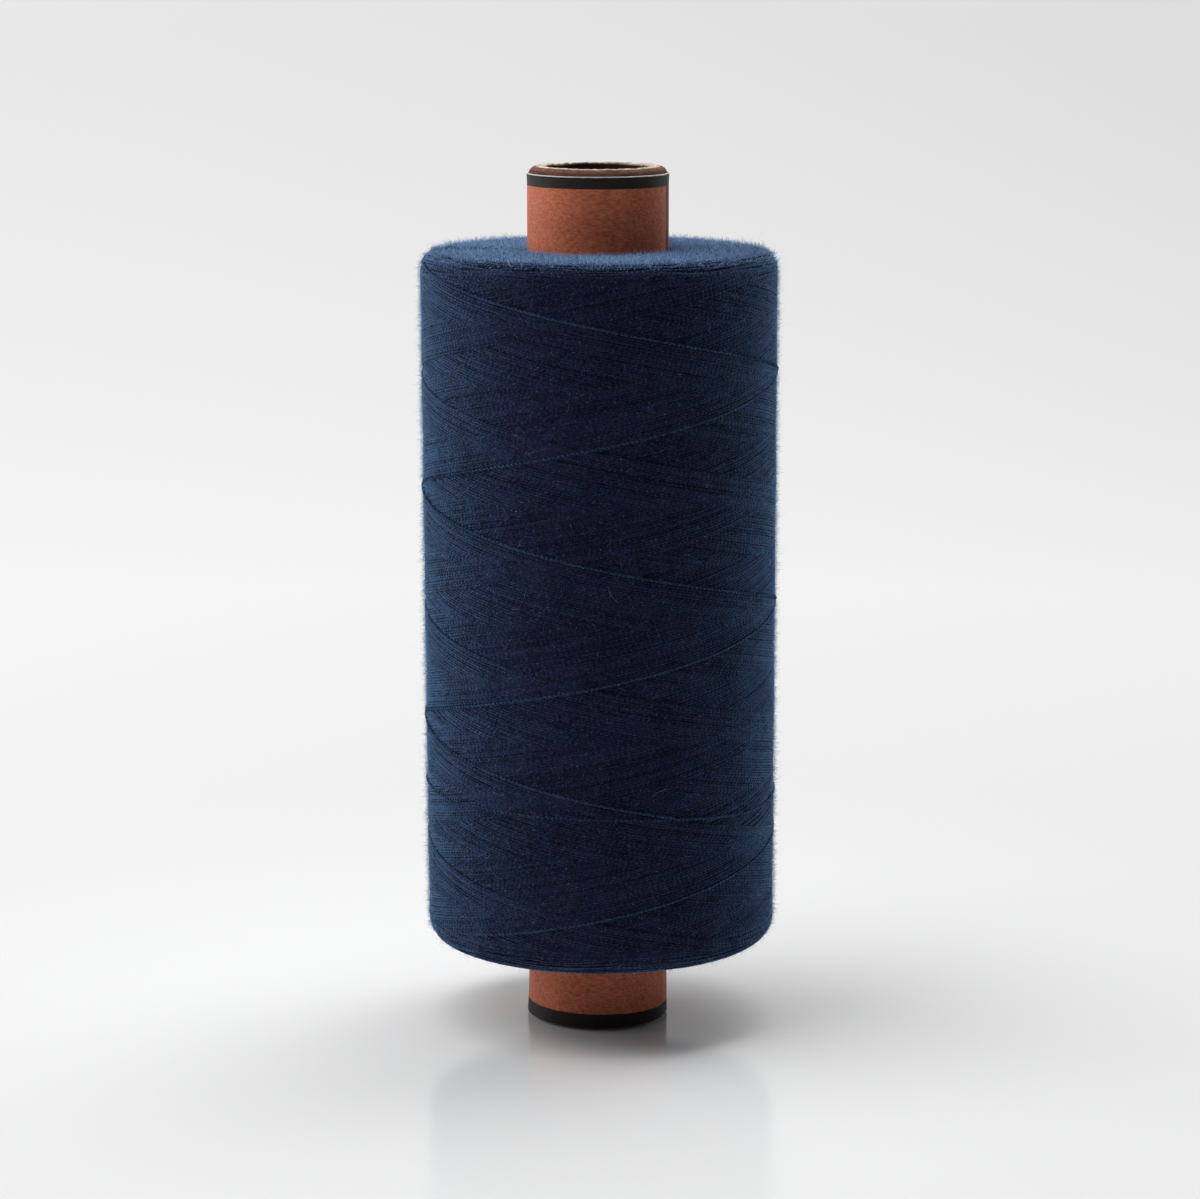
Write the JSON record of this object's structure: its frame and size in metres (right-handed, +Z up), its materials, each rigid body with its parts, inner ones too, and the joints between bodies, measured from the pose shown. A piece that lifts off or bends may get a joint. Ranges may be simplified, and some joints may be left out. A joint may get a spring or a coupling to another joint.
{
  "type": "spool of thread",
  "caption": "Sewing thread cross-wound in a round-shouldered package on a paper tube with a printed paper wrap; the tube's bore takes a spool pin.",
  "frame": {"origin": "on the tube's axis, at the surface that the spool stands on", "axes": "+Z up along the tube's axis, -Y towards the viewer of the picture"},
  "size_m": [0.0355, 0.0355, 0.085],
  "materials": {
    "tube_board": "matte",
    "label_paper": "satin",
    "thread": "matte"
  },
  "bodies": {
    "root": {"tube_liner": "tube_board", "tube_inner_ply": "tube_board", "tube_middle_ply": "tube_board", "tube_outer_ply": "tube_board", "tube_facing": "tube_board", "printed_wrap": "label_paper", "wound_thread": "thread", "upward_wraps": "thread", "downward_wraps": "thread", "level_wrap": "thread"}
  },
  "joints": []
}
